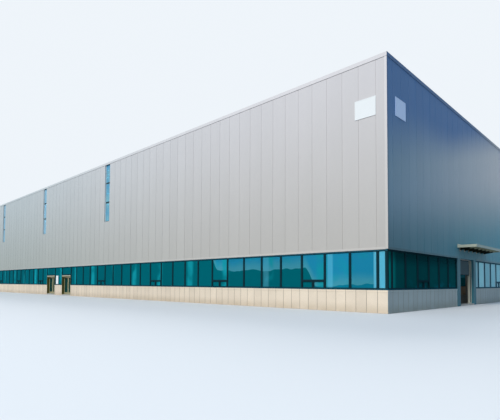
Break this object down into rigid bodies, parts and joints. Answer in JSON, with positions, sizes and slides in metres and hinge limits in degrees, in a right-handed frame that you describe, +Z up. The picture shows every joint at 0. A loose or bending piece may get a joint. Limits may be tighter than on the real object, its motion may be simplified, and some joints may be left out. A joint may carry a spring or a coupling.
{
  "type": "factory building, 1:2 scale model",
  "caption": "Long single-storey factory hall with metal-panel walls over ribbon windows and a stone plinth, slit windows, swinging doors and an end canopy.",
  "frame": {"origin": "middle of the plan, on the underside of the floor slab at ground level", "axes": "+X to the right along the front, towards the end with the canopy; the front faces -Y; +Z up"},
  "size_m": [37.215, 20.63, 6.65],
  "materials": {
    "concrete": "trowelled concrete",
    "stone": "honed stone",
    "wall_panel": "satin coated steel sheet",
    "steel": "painted steel",
    "roof_sheet": "coated steel sheet",
    "trim": "satin",
    "dark_frame": "dark anodised",
    "glazing": "tinted reflective",
    "sky_glazing": "reflective",
    "door_lining": "bronze anodised",
    "door_leaf": "champagne anodised",
    "door_glazing": "tinted",
    "entrance_post": "gloss paint",
    "entrance_panel": "satin",
    "canopy": "satin",
    "white_board": "matt"
  },
  "bodies": {
    "building": {"floor_slab": "concrete", "front_plinth": "stone", "right_plinth": "stone", "back_plinth": "stone", "left_plinth": "stone", "front_wall": "wall_panel", "right_wall": "wall_panel", "back_wall": "wall_panel", "left_wall": "wall_panel", "window_beams": "steel", "wall_rails": "steel", "columns": "steel", "front_rafters": "steel", "back_rafters": "steel", "purlins": "steel", "front_roof": "roof_sheet", "back_roof": "roof_sheet", "ridge_cap": "roof_sheet", "gutters": "roof_sheet", "parapet_lining": "roof_sheet", "coping": "trim", "corner_trims": "trim", "drip_flashing": "trim", "front_window_frames": "dark_frame", "right_window_frames": "dark_frame", "back_window_frames": "dark_frame", "left_window_frames": "dark_frame", "front_glass": "glazing", "right_glass": "glazing", "back_glass": "glazing", "left_glass": "glazing", "slit_frames": "dark_frame", "slit_glass": "sky_glazing", "door_screen": "dark_frame", "door_linings": "door_lining", "entrance_piers": "wall_panel", "entrance_frame": "entrance_post", "entrance_panel": "entrance_panel", "canopy_deck": "canopy", "canopy_brackets": "canopy", "boards": "white_board"},
    "near_door_right": {"near_door_right_leaf": "door_leaf", "near_door_right_glass": "door_glazing"},
    "near_door_left": {"near_door_left_leaf": "door_leaf", "near_door_left_glass": "door_glazing"},
    "far_door_right": {"far_door_right_leaf": "door_leaf", "far_door_right_glass": "door_glazing"},
    "far_door_left": {"far_door_left_leaf": "door_leaf", "far_door_left_glass": "door_glazing"}
  },
  "joints": [
    {"name": "near_door_right_hinge", "type": "hinge", "parent": "building", "child": "near_door_right", "pos_m": [-0.388, -10.1475, 0.55], "axis": [0, 0, 1], "range_deg": [0, 90]},
    {"name": "near_door_left_hinge", "type": "hinge", "parent": "building", "child": "near_door_left", "pos_m": [-1.412, -10.1475, 0.55], "axis": [0, 0, -1], "range_deg": [0, 90]},
    {"name": "far_door_right_hinge", "type": "hinge", "parent": "building", "child": "far_door_right", "pos_m": [-2.588, -10.1475, 0.55], "axis": [0, 0, 1], "range_deg": [0, 90]},
    {"name": "far_door_left_hinge", "type": "hinge", "parent": "building", "child": "far_door_left", "pos_m": [-3.612, -10.1475, 0.55], "axis": [0, 0, -1], "range_deg": [0, 90]}
  ]
}
